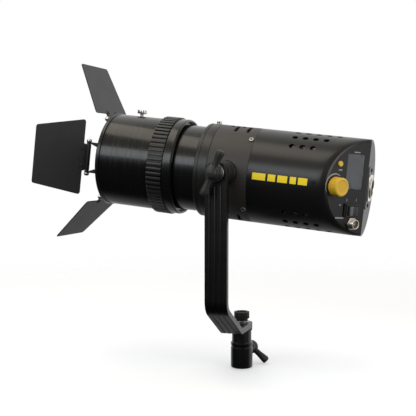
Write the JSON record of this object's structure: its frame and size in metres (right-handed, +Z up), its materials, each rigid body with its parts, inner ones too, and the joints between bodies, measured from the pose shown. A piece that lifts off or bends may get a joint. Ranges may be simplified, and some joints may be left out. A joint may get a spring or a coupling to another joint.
{
  "type": "ellipsoidal spotlight",
  "caption": "Tubular LED profile spotlight with hinged barn doors on a turning ring, a knurled focus ring, a slanted control panel and a single-armed yoke on a stud receiver.",
  "frame": {"origin": "mouth of the stud receiver, on its bore axis", "axes": "+Z up along the receiver, +X toward the control panel at the back of the lamp, -Y toward the yoke arm; the lamp shines toward -X, pitched up 6.2 degrees at rest"},
  "size_m": [0.3752, 0.2142, 0.3619],
  "materials": {
    "receiver_black": "semi-gloss black coat",
    "friction_disc": "filled nylon",
    "steel": "zinc plated",
    "handle_black": "moulded nylon",
    "knob_black": "moulded nylon",
    "brass": "turned",
    "arm_black": "anodised extrusion",
    "rear_black": "semi-gloss black coat",
    "housing_grey": "satin dark grey coat",
    "boss_black": "satin black",
    "flange_black": "satin black anodised",
    "tube_black": "matt black anodised",
    "barrel_black": "gloss black anodised, turned",
    "knurl_black": "satin black anodised",
    "leaf_black": "fine-textured black powder coat",
    "screw_silver": "nickel plated",
    "screw_black": "black oxide",
    "panel_black": "satin black printed panel",
    "plate_grey": "satin grey",
    "connector_silver": "nickel plated zinc",
    "insert_black": "moulded",
    "screen_glass": "clear window",
    "screen_grey": "display",
    "rocker_grey": "moulded",
    "board_green": "circuit board",
    "bare_aluminium": "extruded",
    "led_phosphor": "LED array on board",
    "mirror_bright": "spun aluminium",
    "lens_glass": "clear",
    "dial_yellow": "satin yellow",
    "button_yellow": "satin yellow"
  },
  "bodies": {
    "receiver": {"receiver_body": "receiver_black", "pan_disc": "friction_disc", "pan_stud": "steel"},
    "receiver_lock": {"lock_screw": "steel", "lock_handle": "handle_black"},
    "yoke": {"yoke_arm": "arm_black", "pan_washer": "steel", "tilt_disc_yoke": "friction_disc", "tilt_washer": "steel"},
    "pan_knob": {"pan_knob": "knob_black", "pan_knob_insert": "brass"},
    "tilt_handle": {"tilt_bolt": "steel", "tilt_handle": "handle_black"},
    "head": {"rear_housing": "rear_black", "front_housing": "housing_grey", "tilt_boss": "boss_black", "tilt_disc_lamp": "friction_disc", "front_flange": "flange_black", "inner_tube": "tube_black", "case_screws": "screw_silver", "cover_screws": "screw_black", "control_panel": "panel_black", "rear_plate": "plate_grey", "connector_plate": "plate_grey", "connector_shell": "connector_silver", "connector_insert": "insert_black", "screen_window": "screen_glass", "screen_module": "screen_grey", "switch_frame": "insert_black", "service_port": "insert_black", "jack_body": "connector_silver", "jack_nut": "connector_silver", "control_board": "board_green", "driver_board": "board_green", "fan_frame": "insert_black", "heat_sink": "bare_aluminium", "led_engine": "led_phosphor", "reflector": "mirror_bright", "gate_plate": "tube_black", "rear_lens": "lens_glass"},
    "connector_latch": {"connector_latch": "connector_silver"},
    "dial": {"encoder_shaft": "steel", "control_dial": "dial_yellow"},
    "menu_button": {"menu_button": "button_yellow"},
    "power_switch": {"power_rocker": "rocker_grey"},
    "fan": {"fan_rotor": "insert_black"},
    "barrel": {"barrel_tube": "barrel_black", "barrel_collar": "barrel_black", "lens_cell": "tube_black", "front_lens": "lens_glass"},
    "focus_ring": {"focus_ring": "knurl_black"},
    "barrel_screw": {"barrel_screw": "screw_silver"},
    "door_ring": {"door_ring": "barrel_black", "hinge_struts": "leaf_black", "hinge_pins": "screw_silver"},
    "leaf_top": {"leaf_top": "leaf_black"},
    "leaf_near": {"leaf_near": "leaf_black"},
    "leaf_bottom": {"leaf_bottom": "leaf_black"},
    "leaf_far": {"leaf_far": "leaf_black"}
  },
  "joints": [
    {"name": "receiver_lock_turn", "type": "hinge", "parent": "receiver", "child": "receiver_lock", "pos_m": [0, 0, 0.0185], "axis": [0.1305, 0.9914, 0], "range_deg": [-360, 45]},
    {"name": "yoke_pan", "type": "hinge", "parent": "receiver", "child": "yoke", "pos_m": [0, 0, 0.051], "axis": [0, 0, 1], "continuous": true},
    {"name": "pan_knob_turn", "type": "hinge", "parent": "receiver", "child": "pan_knob", "pos_m": [0, 0, 0.06], "axis": [0, 0, 1], "range_deg": [-360, 45]},
    {"name": "tilt_handle_turn", "type": "hinge", "parent": "yoke", "child": "tilt_handle", "pos_m": [0, -0.11, 0.2335], "axis": [0, -1, 0], "range_deg": [-360, 45]},
    {"name": "head_tilt", "type": "hinge", "parent": "yoke", "child": "head", "pos_m": [0, -0.015, 0.2335], "axis": [0, 1, 0], "range_deg": [-45, 80]},
    {"name": "barrel_slide", "type": "slide", "parent": "head", "child": "barrel", "axis": [0.9942, 0, -0.108], "range_m": [-0.012, 0.018]},
    {"name": "focus_turn", "type": "hinge", "parent": "barrel", "child": "focus_ring", "pos_m": [-0.08351, -0.015, 0.24107], "axis": [0.9942, 0, -0.108], "range_deg": [-160, 240]},
    {"name": "barrel_screw_turn", "type": "hinge", "parent": "barrel", "child": "barrel_screw", "pos_m": [-0.12099, -0.015, 0.30349], "axis": [0.108, 0, 0.9942], "range_deg": [-360, 45]},
    {"name": "door_ring_turn", "type": "hinge", "parent": "barrel", "child": "door_ring", "pos_m": [-0.15509, -0.015, 0.24885], "axis": [0.9942, 0, -0.108], "range_deg": [-180, 180]},
    {"name": "leaf_top_swing", "type": "hinge", "parent": "door_ring", "child": "leaf_top", "pos_m": [-0.15815, -0.015, 0.29656], "axis": [0, 1, 0], "range_deg": [-72.2, 42.8]},
    {"name": "leaf_near_swing", "type": "hinge", "parent": "door_ring", "child": "leaf_near", "pos_m": [-0.1708, -0.0621, 0.25055], "axis": [0.108, 0, 0.9942], "range_deg": [-66.2, 48.8]},
    {"name": "leaf_bottom_swing", "type": "hinge", "parent": "door_ring", "child": "leaf_bottom", "pos_m": [-0.16833, -0.015, 0.20291], "axis": [0, -1, 0], "range_deg": [-59.6, 55.4]},
    {"name": "leaf_far_swing", "type": "hinge", "parent": "door_ring", "child": "leaf_far", "pos_m": [-0.1708, 0.0321, 0.25055], "axis": [-0.108, 0, -0.9942], "range_deg": [-66.2, 48.8]},
    {"name": "dial_turn", "type": "hinge", "parent": "head", "child": "dial", "pos_m": [0.12386, -0.0603, 0.21854], "axis": [0.8022, -0.5906, -0.0872], "continuous": true},
    {"name": "menu_button_press", "type": "slide", "parent": "head", "child": "menu_button", "axis": [-0.8022, 0.5906, 0.0872], "range_m": [0, 0.001], "stiffness_N_per_m": 600},
    {"name": "power_switch_rock", "type": "hinge", "parent": "head", "child": "power_switch", "pos_m": [0.13608, -0.03284, 0.19086], "axis": [0.108, 0, 0.9942], "range_deg": [-16, 0]},
    {"name": "latch_press", "type": "slide", "parent": "head", "child": "connector_latch", "axis": [-0.108, 0, -0.9942], "range_m": [0, 0.0012], "stiffness_N_per_m": 800},
    {"name": "fan_spin", "type": "hinge", "parent": "head", "child": "fan", "pos_m": [0.10439, -0.015, 0.22066], "axis": [0.9942, 0, -0.108], "continuous": true}
  ],
  "couplings": [
    {"joint": "focus_turn", "follows": "barrel_slide", "rad_per_m": 232}
  ]
}
